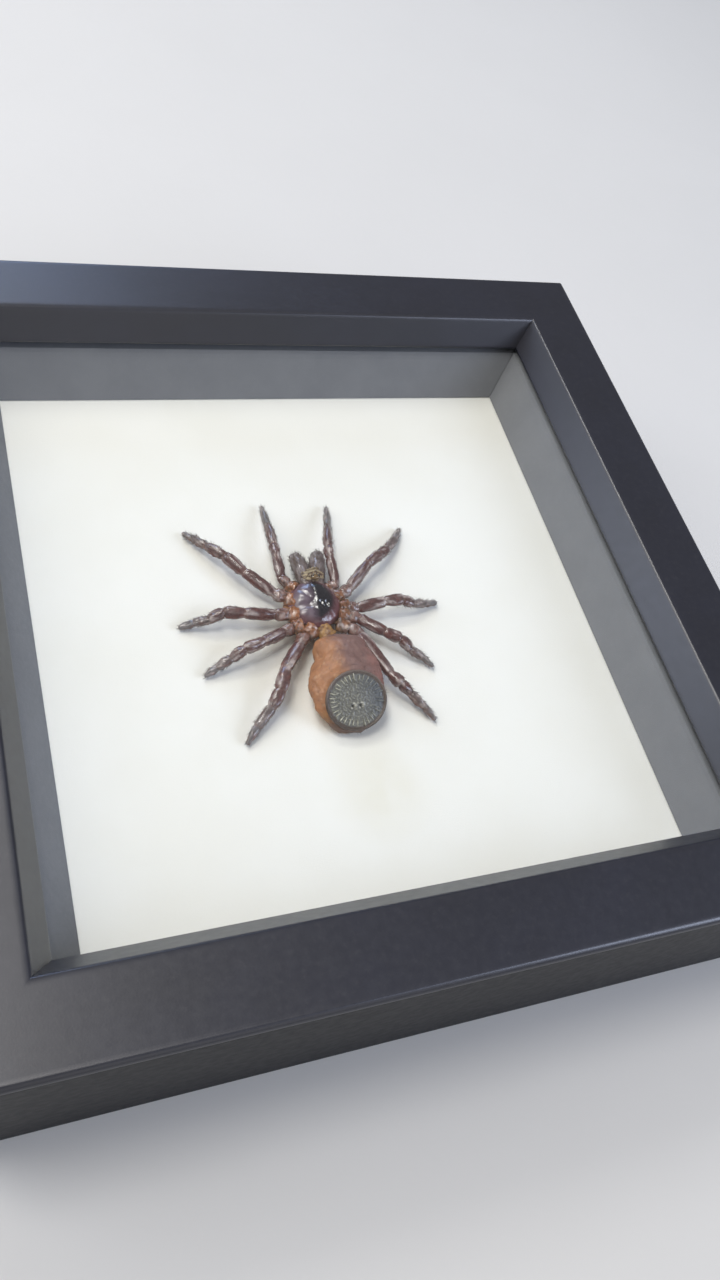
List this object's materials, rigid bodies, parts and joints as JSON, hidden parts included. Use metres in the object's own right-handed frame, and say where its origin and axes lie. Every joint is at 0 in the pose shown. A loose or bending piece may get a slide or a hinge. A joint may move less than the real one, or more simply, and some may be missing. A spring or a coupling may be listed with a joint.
{
  "type": "framed spider specimen",
  "caption": "Square black shadow-box frame with a dried, spread trapdoor spider mounted on a white mat behind glass, with a sawtooth hanger on its back.",
  "frame": {"origin": "middle of the frame's back, on the plane that the frame lies on", "axes": "+Z out of the glazed front, +Y towards the frame's top edge and the spider's head, +X to the viewer's right"},
  "size_m": [0.153, 0.153, 0.0395],
  "materials": {
    "black_frame": "satin black paint over a wooden moulding",
    "glass": "clear picture glass",
    "liner_card": "matt mid grey card",
    "mat_board": "matt off-white board",
    "backing_board": "bare brown hardboard",
    "tab_steel": "thin sheet steel",
    "hanger_brass": "brass-plated steel",
    "glue": "clear dried glue",
    "spider": "dried, glossy mahogany-brown cuticle with a leathery orange-brown abdomen"
  },
  "bodies": {
    "root": {"rail_top": "black_frame", "rail_right": "black_frame", "rail_bottom": "black_frame", "rail_left": "black_frame", "glass_pane": "glass", "liner_top": "liner_card", "liner_right": "liner_card", "liner_bottom": "liner_card", "liner_left": "liner_card", "mat_board": "mat_board", "backing_board": "backing_board", "tab_top_a": "tab_steel", "tab_top_b": "tab_steel", "tab_right_a": "tab_steel", "tab_right_b": "tab_steel", "tab_bottom_a": "tab_steel", "tab_bottom_b": "tab_steel", "tab_left_a": "tab_steel", "tab_left_b": "tab_steel", "hanger": "hanger_brass", "tack_left": "hanger_brass", "tack_right": "hanger_brass", "glue_dab": "glue", "spider": "spider"}
  },
  "joints": []
}
